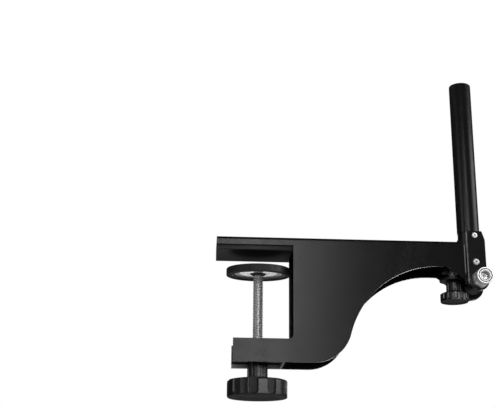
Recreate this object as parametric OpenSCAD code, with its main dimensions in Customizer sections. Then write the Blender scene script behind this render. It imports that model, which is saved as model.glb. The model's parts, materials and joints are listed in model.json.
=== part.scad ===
// Table clamp with a hinged net post. A folded channel bracket hooks over the edge of a
// table, a hand screw lifts a swivelling pad against the underside, and a tube post stands
// on a hinge at the arm's end, leaned out or in by a small tension knob. Millimetres.
// Origin: on the clamp screw's axis, at the face of the top jaw that rests on the table.
// +X runs along the arm to the post, +Y to the back, +Z up.

/* [Bracket] */
// Thickness of the folded sheet
sheet = 2; // [1.8:0.1:2.2]
// Width of the channel over its two cheeks
channel_w = 40; // [39:0.5:44]
// Height of the web's upper face over the table
web_top = 10.5; // [10.3:0.1:12]
// Outer radius of the fold between web and cheek
fold_r = 2.4; // [2.1:0.1:3]
// Reach of the top jaw past the clamp screw
jaw_reach = 33.5; // [30:0.5:38]
// Reach of the lower jaw past the clamp screw
lower_reach = 19.7; // [18:0.1:24]
// Clamp screw to the wall of the throat
throat_x = 26; // [26:0.5:29]
// Table top to the upper edge of the lower jaw
throat_depth = 68.8; // [66:0.1:70]
// Height of the lower jaw
lower_h = 17.7; // [17.4:0.1:18.4]
// Radius of the round corner below the throat
corner_r = 30; // [27:0.5:31]
// Highest point of the arch under the arm
arch_apex = -10; // [-12:0.5:-9]

/* [Jaw liner] */
// Thickness of the liner under the cheeks
liner_t = 4.2; // [3.8:0.1:4.8]
// Set-back of the liner behind the cheeks' faces
liner_inset = 0.7; // [0.3:0.1:1.2]

/* [Clamp screw and pad] */
// Major diameter of the clamp screw
screw_d = 8; // [7.8:0.1:8]
// Diameter of the rubber pad
pad_d = 50.4; // [46:0.2:50.6]
// Thickness of the rubber pad
pad_t = 6; // [5.8:0.1:6.4]
// Top of the pad below the table top
pad_drop = 10.55; // [10.3:0.05:12]
// Lean of the pad on its ball, front edge down
pad_lean = 3.7; // [0:0.1:4.5]
// Diameter of the clamp knob over its lobes
knob_d = 46.6; // [44:0.2:50]
// Height of the clamp knob's head
knob_h = 13.5; // [12:0.5:14]
// Number of finger flutes on the clamp knob
knob_lobes = 10; // [6:1:10]
// Turn of the clamp knob's flutes
knob_turn = 7.3; // [0:0.1:36]

/* [Post] */
// Clamp screw to the axis of the post
post_x = 169.7; // [169.5:0.1:170]
// Diameter of the post
post_d = 17.7; // [17.2:0.1:17.8]
// Top of the post above the table
post_top = 152.5; // [120:0.5:170]
// Wall of the post's tube
post_wall = 1.2; // [1:0.1:1.5]

/* [Hinge] */
// Thickness of the two hinge plates
plate_t = 2.5; // [2:0.1:2.5]
// Top of the hinge plates above the table
plate_top = 21; // [20.5:0.5:26]
// Outer diameter of the pivot bush
bush_d = 10; // [9.6:0.1:10.2]
// Diameter of the cap nut behind the hinge
cap_nut_d = 21; // [18:0.5:21]

/* [Tension set] */
// Clamp screw to the axis of the tension screw
tension_x = 155.6; // [155.4:0.1:155.8]
// Diameter of the tension knob's head
tension_d = 22; // [20:0.5:22]
// Number of ribs round the tension knob
tension_ribs = 14; // [10:1:16]
// Turn of the tension knob's grooves
tension_turn = 4.7; // [0:0.1:25]

/* [Hidden] */
half = channel_w / 2;
grip_low = plate_top + 1;
inner = half - sheet;
web_low = web_top - sheet;
bottom = throat_depth + lower_h;

// round corner and arch of the cheeks: two arcs that touch
corner_x = 41;
corner_z = -bottom + corner_r;
arch_x = 140;
arch_up = arch_apex - corner_z;
arch_r = ((arch_x - corner_x) * (arch_x - corner_x) + arch_up * arch_up - corner_r * corner_r)
         / (2 * (arch_up + corner_r));
arch_z = arch_apex - arch_r;
flat_end = 147;
arm_end = 160;
heel_z = -19.6;

// hinge
pivot_x = 173.3;
pivot_z = -18.3;
lug_r = 8;
lug_out = 11.2;
lug_in = lug_out - sheet;
plate_in = lug_out + 0.2;
plate_out = plate_in + plate_t;
plate_x0 = 163.8;
plate_w = 15;
rivet_x = 170.8;
rivet_top = 17.5;
rivet_low = -4.2;
rivet_r = 1.6;
post_r = post_d / 2;
post_in = post_r - post_wall;
tube_low = -9.3;
bush_r = bush_d / 2;
bush_end = plate_out + 0.15;
bolt_r = 4;

// lower jaw insert
insert_x1 = 20;
insert_web = -82.7;
insert_top = insert_web + sheet;
insert_edge = -bottom + 0.1;
nut_af = 13;
nut_r = nut_af / sqrt(3);

// clamp screw
sr = screw_d / 2;
ball_r = 3;
ball_z = -pad_drop - 3.9;
neck_r = 2.1;
shoulder_z = ball_z - 3;
pad_r = pad_d / 2;
pad_low = -pad_drop - pad_t;
knob_low = -111.5;
knob_high = knob_low + knob_h;
hub_high = insert_web - 0.8;

// tension set
t_r = 2.5;
foot_low = -13.6;
tongue_low = -9.6;
tongue_high = -5.6;
washer_top = -15.4;
washer_low = -17.4;
t_head_high = -27;
t_head_low = -34.2;

// a solid standing on the XZ plane, from front y0 to back y1
module along_y(y0, y1) {
  translate([0, y1, 0]) rotate([90, 0, 0]) linear_extrude(y1 - y0) children();
}

// a round bar along Y at (x, z)
module bar_y(x, z, r, y0, y1, fn = 48) {
  translate([x, y1, z]) rotate([90, 0, 0]) cylinder(r = r, h = y1 - y0, $fn = fn);
}

// ---------------------------------------------------------------- bracket body

module cheek_outline() {
  lean = atan2(arch_z - corner_z, arch_x - corner_x);
  polygon(concat(
    [[-jaw_reach, web_top], [-jaw_reach, liner_t], [throat_x, liner_t]],
    [for (i = [0 : 8]) [throat_x - 3.5 + 3.5 * cos(i * 11.25), -throat_depth + 3.5 - 3.5 * sin(i * 11.25)]],
    [[-lower_reach, -throat_depth], [-lower_reach, -bottom]],
    [for (i = [0 : 30]) let(a = -90 + i / 30 * (lean + 90))
      [corner_x + corner_r * cos(a), corner_z + corner_r * sin(a)]],
    [for (i = [1 : 48]) let(a = 180 + lean - i / 48 * (90 + lean))
      [arch_x + arch_r * cos(a), arch_z + arch_r * sin(a)]],
    [[flat_end, arch_apex], [flat_end + 11, heel_z + 0.7], [flat_end + 12.4, heel_z],
      [arm_end, heel_z], [arm_end, web_top]]));
}

module channel_section() {
  difference() {
    union() {
      translate([-half, -bottom - 5]) square([channel_w, bottom + 5 + web_top - fold_r]);
      translate([-half + fold_r, 0]) square([channel_w - 2 * fold_r, web_top]);
      for (s = [-1, 1]) translate([s * (half - fold_r), web_top - fold_r]) circle(r = fold_r, $fn = 32);
    }
    translate([-inner, -bottom - 6]) square([2 * inner, bottom + 6 + web_low]);
  }
}

// plan of one inward set of the cheek's end, joining the lug
module joggle_plan() {
  run = 2;
  drop = half - lug_out;
  len = sqrt(run * run + drop * drop);
  nx = -drop / len * sheet;
  ny = -run / len * sheet;
  t1 = (half + ny - inner) / drop;
  t2 = (half + ny - lug_in) / drop;
  polygon([[arm_end + nx + run * t1, inner], [arm_end + nx + run * t1, half], [arm_end, half],
    [arm_end + run, lug_out], [arm_end + run + 1, lug_out], [arm_end + run + 1, lug_in],
    [arm_end + nx + run * t2, lug_in]]);
}

module lug_outline() {
  translate([pivot_x, pivot_z]) circle(r = lug_r, $fn = 72);
  polygon([[arm_end + 1, heel_z], [arm_end + 1, pivot_z + lug_r + 0.7], [pivot_x - 1.5, pivot_z + lug_r - 0.4],
    [pivot_x, pivot_z], [pivot_x - 3.9, pivot_z - lug_r + 1.4]]);
}

module bracket() {
  color([0.10, 0.10, 0.11]) difference() {
    union() {
      difference() {
        intersection() {
          along_y(-half, half) cheek_outline();
          translate([-50, 0, 0]) rotate([90, 0, 90]) linear_extrude(50 + arm_end) channel_section();
        }
        translate([arm_end - 2, -inner, 0]) cube([10, 2 * inner, 20]);
      }
      for (s = [0, 1]) mirror([0, s, 0]) {
        translate([0, 0, heel_z]) linear_extrude(web_top - fold_r - heel_z) joggle_plan();
        along_y(lug_in, lug_out) lug_outline();
      }
    }
    bar_y(pivot_x, pivot_z, bush_r + 0.02, -30, 30);
  }
}

module jaw_liner() {
  x0 = -jaw_reach;
  lip = half - liner_inset;
  color([0.05, 0.05, 0.05]) difference() {
    union() {
      translate([x0, -lip, 0]) cube([jaw_reach + throat_x - 0.05, 2 * lip, liner_t]);
      translate([x0, -inner + 0.05, liner_t - 0.5]) cube([jaw_reach + throat_x - 0.05, 2 * inner - 0.1, web_low - liner_t + 0.5]);
    }
    // lightening pockets, closed above by the web
    for (i = [0 : 2]) translate([x0 + 5 + i * 17.5, -inner + 2.5, liner_t])
      cube([15.5, 2 * inner - 5, web_low]);
    // under-cut groove round the foot of the lip
    translate([x0 - 1, -half, liner_t - 0.6]) cube([jaw_reach + throat_x + 2, liner_inset + 0.8, 1]);
    translate([x0 - 1, half - liner_inset - 0.8, liner_t - 0.6]) cube([jaw_reach + throat_x + 2, liner_inset + 0.8, 1]);
  }
}

module jaw_insert() {
  x0 = -lower_reach;
  len = insert_x1 - x0;
  color([0.16, 0.16, 0.17]) difference() {
    translate([x0, -inner + 0.03, insert_edge]) cube([len, 2 * inner - 0.06, insert_top - insert_edge]);
    translate([x0 - 1, -inner + sheet, insert_edge - 1]) cube([len + 1 - sheet, 2 * (inner - sheet), insert_web - insert_edge + 1]);
    translate([0, 0, insert_web - 1]) cylinder(r = sr + 0.35, h = sheet + 2, $fn = 48);
  }
}

// hexagonal nut standing on z = 0, flats facing front and back
module hex_nut(af, h, bore) {
  difference() {
    rotate([0, 0, 30]) cylinder(r = af / sqrt(3), h = h, $fn = 6);
    translate([0, 0, -1]) cylinder(r = bore, h = h + 2, $fn = 40);
  }
}

module clamp_nut() {
  color([0.62, 0.62, 0.64]) translate([0, 0, insert_top]) hex_nut(nut_af, 6.5, sr + 0.04);
}

module tension_anchor() {
  color([0.14, 0.14, 0.15]) difference() {
    translate([arm_end - 13.5, -inner + 0.03, -sheet]) cube([11, 2 * inner - 0.06, sheet]);
    translate([tension_x, 0, -sheet - 1]) cylinder(r = t_r + 0.3, h = sheet + 2, $fn = 40);
  }
}

module tension_nut() {
  color([0.62, 0.62, 0.64]) translate([tension_x, 0, 0]) hex_nut(8, 4, t_r + 0.04);
}

module pivot_bolt() {
  head = -bush_end - 6.45;
  color([0.66, 0.66, 0.68]) difference() {
    union() {
      bar_y(pivot_x, pivot_z, bolt_r - 0.03, head - 1, bush_end + 5.5);
      bar_y(pivot_x, pivot_z, 6.5, head - 8, head);
    }
    translate([pivot_x, head - 4, pivot_z]) rotate([90, 0, 0]) cylinder(r = 6 / sqrt(3), h = 10, $fn = 6);
  }
}

module pivot_jam_nut() {
  color([0.66, 0.66, 0.68]) translate([pivot_x, -bush_end, pivot_z]) rotate([90, 0, 0])
    hex_nut(nut_af, 6.45, bolt_r);
}

module pivot_cap_nut() {
  rc = cap_nut_d / 2;
  color([0.07, 0.07, 0.07]) translate([pivot_x, bush_end, pivot_z]) rotate([-90, 0, 0]) difference() {
    rotate_extrude($fn = 72) {
      square([rc, 5]);
      square([rc - 3, 8]);
      translate([rc - 3, 5]) intersection() { circle(r = 3, $fn = 40); square([4, 4]); }
    }
    translate([0, 0, -1]) cylinder(r = bolt_r, h = 7, $fn = 48);
  }
}

module pivot_bush() {
  color([0.55, 0.55, 0.57]) difference() {
    bar_y(pivot_x, pivot_z, bush_r, -bush_end, bush_end);
    bar_y(pivot_x, pivot_z, bolt_r + 0.1, -bush_end - 1, bush_end + 1);
  }
}

// ---------------------------------------------------------------- swinging post

module rivet_holes(r, y0, y1) {
  bar_y(rivet_x, rivet_top, r, y0, y1, 32);
  bar_y(rivet_x, rivet_low, r, y0, y1, 32);
}

module post_tube() {
  color([0.09, 0.09, 0.10]) difference() {
    // the length between the plates is a little thinner than the free length above them
    translate([post_x, 0, 0]) union() {
      translate([0, 0, grip_low]) cylinder(r = post_r, h = post_top - 1.7 - grip_low, $fn = 96);
      translate([0, 0, tube_low]) cylinder(r = post_r - 0.4, h = grip_low - tube_low + 1, $fn = 96);
    }
    translate([post_x, 0, tube_low - 1]) cylinder(r = post_in, h = post_top + 20, $fn = 72);
    rivet_holes(rivet_r + 0.05, -20, 20);
    // notch for the tongue
    translate([post_x - 14.7, -8.1, tube_low - 1]) cube([10, 16.2, tongue_high + 0.1 - tube_low + 1]);
  }
}

module post_top_cap() {
  edge = 1.4;
  color([0.08, 0.08, 0.08]) translate([post_x, 0, 0]) union() {
    translate([0, 0, post_top - 14]) difference() {
      cylinder(r = post_in - 0.05, h = 12.8, $fn = 72);
      translate([0, 0, -1]) cylinder(r = post_in - 1.8, h = 11, $fn = 60);
    }
    translate([0, 0, post_top - 1.7]) rotate_extrude($fn = 96) {
      square([post_r, 1.7 - edge]);
      square([post_r - edge, 1.7]);
      translate([post_r - edge, 1.7 - edge]) intersection() { circle(r = edge, $fn = 32); square([2, 2]); }
    }
  }
}

module post_foot() {
  hw = 9;
  color([0.10, 0.10, 0.10]) difference() {
    union() {
      translate([post_x, 0, tube_low - 1]) cylinder(r = post_in - 0.05, h = 12.3, $fn = 72);
      along_y(-hw, hw) {
        translate([pivot_x, pivot_z]) circle(r = 7.5, $fn = 72);
        translate([pivot_x - 7.2, pivot_z]) square([12.3, tube_low - pivot_z]);
        translate([post_x - post_r + 0.2, foot_low]) square([2 * post_r - 0.4, tube_low - foot_low]);
      }
      translate([148, -8, tongue_low]) cube([post_x - 4.8 - 148, 16, tongue_high - tongue_low]);
    }
    bar_y(pivot_x, pivot_z, bush_r + 0.06, -20, 20);
    rivet_holes(rivet_r + 0.05, -20, 20);
    // slot for the tension screw
    translate([tension_x, 0, tongue_low - 1]) {
      for (s = [-1.2, 1.2]) translate([s, 0, 0]) cylinder(r = 3.1, h = 6, $fn = 48);
      translate([-1.2, -3.1, 0]) cube([2.4, 6.2, 6]);
    }
  }
}

module hinge_plate(y0, y1) {
  mid = plate_x0 + plate_w / 2;
  difference() {
    union() {
      along_y(y0, y1) polygon(concat([[plate_x0, plate_top - 1.2], [plate_x0 + 1.2, plate_top],
        [plate_x0 + plate_w - 2.3, plate_top], [plate_x0 + plate_w, plate_top - 7]],
        [for (i = [0 : 24]) [mid + plate_w / 2 * cos(i * 7.5), pivot_z - plate_w / 2 * sin(i * 7.5)]]));
      bar_y(pivot_x, pivot_z, lug_r, y0, y1, 72);
    }
    bar_y(pivot_x, pivot_z, bush_r + 0.06, y0 - 1, y1 + 1, 60);
    rivet_holes(rivet_r + 0.05, y0 - 1, y1 + 1);
  }
}

module hinge_plate_front() { color([0.10, 0.10, 0.11]) hinge_plate(-plate_out, -plate_in); }
module hinge_plate_back() { color([0.10, 0.10, 0.11]) hinge_plate(plate_in, plate_out); }

// a rivet through both plates, with a formed head at each end
module rivet(z, head_r) {
  difference() {
    union() {
      bar_y(rivet_x, z, rivet_r, -plate_out - 0.9, plate_out + 0.9, 32);
      for (s = [0, 1]) mirror([0, s, 0]) translate([rivet_x, plate_out, z]) rotate([-90, 0, 0])
        rotate_extrude($fn = 48) {
          square([head_r, 0.5]);
          square([head_r - 0.6, 1.1]);
          translate([head_r - 0.6, 0.5]) intersection() { circle(r = 0.6, $fn = 24); square([1, 1]); }
        }
    }
    for (s = [0, 1]) mirror([0, s, 0])
      translate([rivet_x, plate_out - 0.6, z]) rotate([-90, 0, 0]) cylinder(r = 0.9, h = 3, $fn = 24);
  }
}

module upper_rivet() { color([0.70, 0.70, 0.72]) rivet(rivet_top, 2.2); }
module lower_rivet() { color([0.70, 0.70, 0.72]) rivet(rivet_low, 2.5); }

module rivet_spacers() {
  color([0.12, 0.12, 0.12]) for (s = [0, 1], z = [rivet_top, rivet_low]) mirror([0, s, 0])
    difference() {
      bar_y(rivet_x, z, 3.6, 7, plate_in, 48);
      translate([post_x, 0, z - 10]) cylinder(r = post_r - 0.38, h = 20, $fn = 96);
      bar_y(rivet_x, z, rivet_r + 0.05, 0, 20, 32);
    }
}

// ---------------------------------------------------------------- tension set

module tension_washer() {
  color([0.13, 0.13, 0.13]) difference() {
    translate([tension_x, 0, washer_low]) cylinder(r = tension_d / 2, h = washer_top - washer_low, $fn = 72);
    translate([tension_x + 3.9, -20, washer_low - 1]) cube([20, 40, 5]);
    translate([tension_x, 0, washer_low - 1]) cylinder(r = t_r + 0.08, h = 5, $fn = 40);
  }
}

module tension_sleeve() {
  h = tongue_low - 0.05 - washer_top;
  color([0.50, 0.50, 0.52]) translate([tension_x, 0, washer_top]) difference() {
    rotate_extrude($fn = 60) intersection() {
      square([3.5, h]);
      translate([0, h - 12]) circle(r = 12, $fn = 144);
    }
    translate([0, 0, -1]) cylinder(r = t_r + 0.06, h = h + 2, $fn = 40);
  }
}

module tension_screw() {
  color([0.65, 0.65, 0.67]) translate([tension_x, 0, -32]) union() {
    cylinder(r = t_r, h = 36.4, $fn = 40);
    translate([0, 0, 36.4]) cylinder(r1 = t_r, r2 = t_r - 0.6, h = 0.6, $fn = 40);
    cylinder(r = 8 / sqrt(3), h = 3.5, $fn = 6);
  }
}

module tension_knob() {
  r = tension_d / 2;
  color([0.08, 0.08, 0.08]) translate([tension_x, 0, 0]) difference() {
    union() {
      translate([0, 0, t_head_low]) cylinder(r = r, h = t_head_high - t_head_low, $fn = 96);
      translate([0, 0, t_head_high - 0.5]) cylinder(r = 6, h = washer_low - t_head_high + 0.5, $fn = 60);
    }
    // grooves of the grip, open at the top, and the flutes of the hub in line with them
    for (i = [0 : tension_ribs - 1]) rotate([0, 0, tension_turn + i * 360 / tension_ribs]) {
      translate([r + 0.5, 0, t_head_low + 1.7]) cylinder(r = 1.45, h = t_head_high - t_head_low, $fn = 24);
      translate([6.45, 0, t_head_high + 1]) cylinder(r = 0.8, h = washer_low - t_head_high, $fn = 20);
    }
    translate([0, 0, t_head_low - 1]) cylinder(r = 8.6, h = 2.2, $fn = 60);
    translate([0, 0, -32]) cylinder(r = t_r + 0.02, h = 30, $fn = 40);
    translate([0, 0, -32.02]) cylinder(r = 8 / sqrt(3) + 0.03, h = 3.54, $fn = 6);
  }
}

module tension_knob_cap() {
  color([0.12, 0.12, 0.12]) translate([tension_x, 0, t_head_low + 0.2])
    cylinder(r = 8.55, h = 0.98, $fn = 60);
}

// ---------------------------------------------------------------- clamp screw and pad

module swivel_ring() {
  color([0.72, 0.72, 0.74]) translate([0, 0, shoulder_z + 0.05]) difference() {
    cylinder(r = 3.9, h = 0.9, $fn = 48);
    translate([0, 0, -1]) cylinder(r = neck_r + 0.08, h = 4, $fn = 40);
  }
}

module clamp_screw() {
  color([0.75, 0.75, 0.77]) union() {
    translate([0, 0, ball_z]) sphere(r = ball_r, $fn = 48);
    translate([0, 0, shoulder_z - 0.5]) cylinder(r = neck_r, h = ball_z - shoulder_z + 0.5, $fn = 40);
    translate([0, 0, shoulder_z - 0.8]) cylinder(r1 = sr, r2 = sr - 0.8, h = 0.8, $fn = 48);
    translate([0, 0, knob_low + 3]) cylinder(r = sr, h = shoulder_z - 0.8 - knob_low - 3, $fn = 48);
    translate([0, 0, knob_low + 3]) cylinder(r = nut_r, h = 5.5, $fn = 6);
  }
}

module clamp_knob() {
  r = knob_d / 2;
  color([0.08, 0.08, 0.08]) difference() {
    union() {
      translate([0, 0, knob_low]) cylinder(r = r, h = knob_h, $fn = 120);
      translate([0, 0, knob_high - 1]) cylinder(r = 7.9, h = hub_high - knob_high + 1, $fn = 60);
    }
    // finger flutes, open at the top and closed above the lower rim
    for (i = [0 : knob_lobes - 1]) rotate([0, 0, knob_turn + i * 360 / knob_lobes])
      translate([r + 2.2, 0, knob_low + 3.4]) cylinder(r = 4.3, h = knob_h, $fn = 48);
    // narrow flutes of the hub, a little over half a step away
    for (i = [0 : knob_lobes - 1]) rotate([0, 0, knob_turn + (i + 0.6) * 360 / knob_lobes])
      translate([8.1, 0, knob_high + 1.5]) cylinder(r = 0.95, h = 40, $fn = 20);
    translate([0, 0, knob_low - 1]) cylinder(r = 15.4, h = 2.2, $fn = 72);
    translate([0, 0, knob_low + 3]) cylinder(r = sr + 0.02, h = 40, $fn = 48);
    translate([0, 0, knob_low + 2.98]) cylinder(r = nut_r + 0.03, h = 5.54, $fn = 6);
  }
}

module clamp_knob_cap() {
  color([0.20, 0.20, 0.21]) translate([0, 0, knob_low + 0.2]) cylinder(r = 15.35, h = 0.98, $fn = 72);
}

// pieces of the pad, leaned about the ball
module on_ball() {
  translate([0, 0, ball_z]) rotate([pad_lean, 0, 0]) translate([0, 0, -ball_z]) children();
}

module pad_rubber() {
  edge = 0.9;
  color([0.06, 0.06, 0.06]) on_ball() difference() {
    union() {
      translate([0, 0, pad_low]) rotate_extrude($fn = 96) {
        translate([0, edge]) square([pad_r, pad_t - 2 * edge]);
        square([pad_r - edge, pad_t]);
        for (z = [edge, pad_t - edge]) translate([pad_r - edge, z]) circle(r = edge, $fn = 24);
      }
    }
    difference() {
      translate([0, 0, pad_low - 1]) cylinder(r = 21.2, h = pad_t - 2.6 + 1, $fn = 96);
      translate([0, 0, -pad_drop - 5.2]) cylinder(r = 5.9, h = 4, $fn = 48);
    }
    translate([0, 0, ball_z]) sphere(r = ball_r + 0.05, $fn = 48);
  }
}

module pad_dish() {
  top = -pad_drop - 2.65;
  color([0.55, 0.55, 0.57]) on_ball() difference() {
    translate([0, 0, top - 2.4]) cylinder(r = 21.15, h = 2.4, $fn = 96);
    translate([0, 0, top - 3.4]) cylinder(r = 20.1, h = 2.4, $fn = 96);
    translate([0, 0, top - 3]) cylinder(r = 6.1, h = 5, $fn = 48);
  }
}

bracket();
jaw_liner();
jaw_insert();
clamp_nut();
tension_anchor();
tension_nut();
pivot_bolt();
pivot_jam_nut();
pivot_cap_nut();
pivot_bush();
post_tube();
post_top_cap();
post_foot();
hinge_plate_front();
hinge_plate_back();
upper_rivet();
lower_rivet();
rivet_spacers();
tension_washer();
tension_sleeve();
tension_screw();
tension_knob();
tension_knob_cap();
swivel_ring();
clamp_screw();
clamp_knob();
clamp_knob_cap();
pad_rubber();
pad_dish();
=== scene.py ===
import json
import math

import bmesh
import bpy
from mathutils import Matrix, Vector

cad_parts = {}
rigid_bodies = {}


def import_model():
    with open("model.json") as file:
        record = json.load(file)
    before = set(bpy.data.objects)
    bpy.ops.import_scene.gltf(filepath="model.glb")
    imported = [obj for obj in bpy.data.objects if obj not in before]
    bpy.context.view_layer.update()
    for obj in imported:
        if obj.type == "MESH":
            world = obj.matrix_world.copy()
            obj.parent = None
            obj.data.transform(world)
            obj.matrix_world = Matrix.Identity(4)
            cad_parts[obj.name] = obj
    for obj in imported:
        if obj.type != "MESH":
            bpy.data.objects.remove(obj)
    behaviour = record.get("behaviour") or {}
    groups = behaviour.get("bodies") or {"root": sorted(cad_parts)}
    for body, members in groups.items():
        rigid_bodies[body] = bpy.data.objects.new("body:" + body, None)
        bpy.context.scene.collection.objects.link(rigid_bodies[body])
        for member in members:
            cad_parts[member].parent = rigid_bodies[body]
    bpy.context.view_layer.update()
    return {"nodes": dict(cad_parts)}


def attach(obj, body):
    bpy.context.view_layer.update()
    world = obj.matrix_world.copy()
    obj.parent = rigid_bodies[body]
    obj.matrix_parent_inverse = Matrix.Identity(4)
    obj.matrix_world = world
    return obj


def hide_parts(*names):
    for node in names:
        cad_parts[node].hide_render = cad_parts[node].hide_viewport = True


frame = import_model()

MM = 0.001
scene = bpy.context.scene

# ---------------------------------------------------------------- sizes, in mm, as in the CAD
WEB_TOP, HALF, SHEET, FOLD_R = 10.5, 20.0, 2.0, 2.4
JAW, LOWER_REACH, THROAT_X, THROAT_Z, BOTTOM = -33.5, -19.7, 26.0, -68.8, -86.5
LINER_T = 4.2
ARM_END, HEEL_Z = 160.0, -19.6
PIVOT = (173.3, -18.3)
POST_X, POST_R, POST_TOP = 169.7, 8.85, 152.5
TEN_X = 155.6
BALL_Z, LEAN, PAD_R = -14.45, 3.7, 25.2


# ---------------------------------------------------------------- node helpers
class Nodes:
    """A small wrapper round one material's node tree."""

    def __init__(self, name):
        self.mat = bpy.data.materials.new(name)
        self.mat.use_nodes = True
        self.t = self.mat.node_tree
        self.t.nodes.clear()
        self.out = self.t.nodes.new("ShaderNodeOutputMaterial")
        self.bsdf = self.t.nodes.new("ShaderNodeBsdfPrincipled")
        self.t.links.new(self.bsdf.outputs[0], self.out.inputs[0])
        self.coord = self.t.nodes.new("ShaderNodeTexCoord").outputs["Object"]
        self.heights = []

    def link(self, a, b):
        self.t.links.new(a, b)

    def put(self, socket, value):
        if isinstance(value, bpy.types.NodeSocket):
            self.link(value, socket)
        else:
            socket.default_value = value

    def noise(self, scale, detail=2.0, rough=0.5, distort=0.0, vec=None):
        n = self.t.nodes.new("ShaderNodeTexNoise")
        n.inputs["Scale"].default_value = scale
        n.inputs["Detail"].default_value = detail
        n.inputs["Roughness"].default_value = rough
        n.inputs["Distortion"].default_value = distort
        self.link(vec or self.coord, n.inputs["Vector"])
        return n.outputs[0]

    def voronoi(self, scale, vec=None, feature="F1"):
        n = self.t.nodes.new("ShaderNodeTexVoronoi")
        n.feature = feature
        n.inputs["Scale"].default_value = scale
        self.link(vec or self.coord, n.inputs["Vector"])
        return n.outputs["Distance"]

    def span(self, value, lo, hi, a=0.0, b=1.0, smooth=False):
        n = self.t.nodes.new("ShaderNodeMapRange")
        if smooth:
            n.interpolation_type = "SMOOTHSTEP"
        self.link(value, n.inputs["Value"])
        for k, v in zip(("From Min", "From Max", "To Min", "To Max"), (lo, hi, a, b)):
            self.put(n.inputs[k], v)
        return n.outputs[0]

    def math(self, op, a, b=0.0, c=0.0):
        n = self.t.nodes.new("ShaderNodeMath")
        n.operation = op
        for s, v in zip(n.inputs, (a, b, c)):
            self.put(s, v)
        return n.outputs[0]

    def vec(self, op, a, b=(0, 0, 0)):
        n = self.t.nodes.new("ShaderNodeVectorMath")
        n.operation = op
        self.put(n.inputs[0], a)
        self.put(n.inputs[1], b)
        return n.outputs["Value"] if op in ("LENGTH", "DOT_PRODUCT") else n.outputs[0]

    def mix(self, fac, a, b):
        n = self.t.nodes.new("ShaderNodeMix")
        n.data_type = "RGBA"
        self.put(n.inputs[0], fac)
        self.put(n.inputs[6], a if isinstance(a, bpy.types.NodeSocket) else (*a, 1))
        self.put(n.inputs[7], b if isinstance(b, bpy.types.NodeSocket) else (*b, 1))
        return n.outputs[2]

    def edges(self, radius):
        """0 on a flat and towards 1 at an edge closer than the radius."""
        bev = self.t.nodes.new("ShaderNodeBevel")
        bev.samples = 4
        bev.inputs["Radius"].default_value = radius
        geo = self.t.nodes.new("ShaderNodeNewGeometry")
        d = self.vec("DOT_PRODUCT", bev.outputs[0], geo.outputs["Normal"])
        return self.span(d, 1.0, 0.86, 0.0, 1.0, True)

    def radial(self, centre, axis):
        """Distance in metres from an axis through centre (mm)."""
        p = self.vec("SUBTRACT", self.coord, tuple(c * MM for c in centre))
        flat = {"X": (0, 1, 1), "Y": (1, 0, 1), "Z": (1, 1, 0)}[axis]
        return self.vec("LENGTH", self.vec("MULTIPLY", p, flat)), p

    def bump(self, height, distance, strength=1.0):
        n = self.t.nodes.new("ShaderNodeBump")
        n.inputs["Distance"].default_value = distance
        n.inputs["Strength"].default_value = strength
        self.link(height, n.inputs["Height"])
        if self.heights:
            self.link(self.heights[-1], n.inputs["Normal"])
        self.heights.append(n.outputs[0])
        self.t.links.new(n.outputs[0], self.bsdf.inputs["Normal"])

    def base(self, v):
        self.put(self.bsdf.inputs["Base Color"], v if isinstance(v, bpy.types.NodeSocket) else (*v, 1))

    def rough(self, v):
        self.put(self.bsdf.inputs["Roughness"], v)

    def metal(self, v):
        self.bsdf.inputs["Metallic"].default_value = v

    def set(self, name, v):
        self.bsdf.inputs[name].default_value = v


def grey(v, tint=0.0):
    return (v, v, v * (1 + tint))


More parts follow.
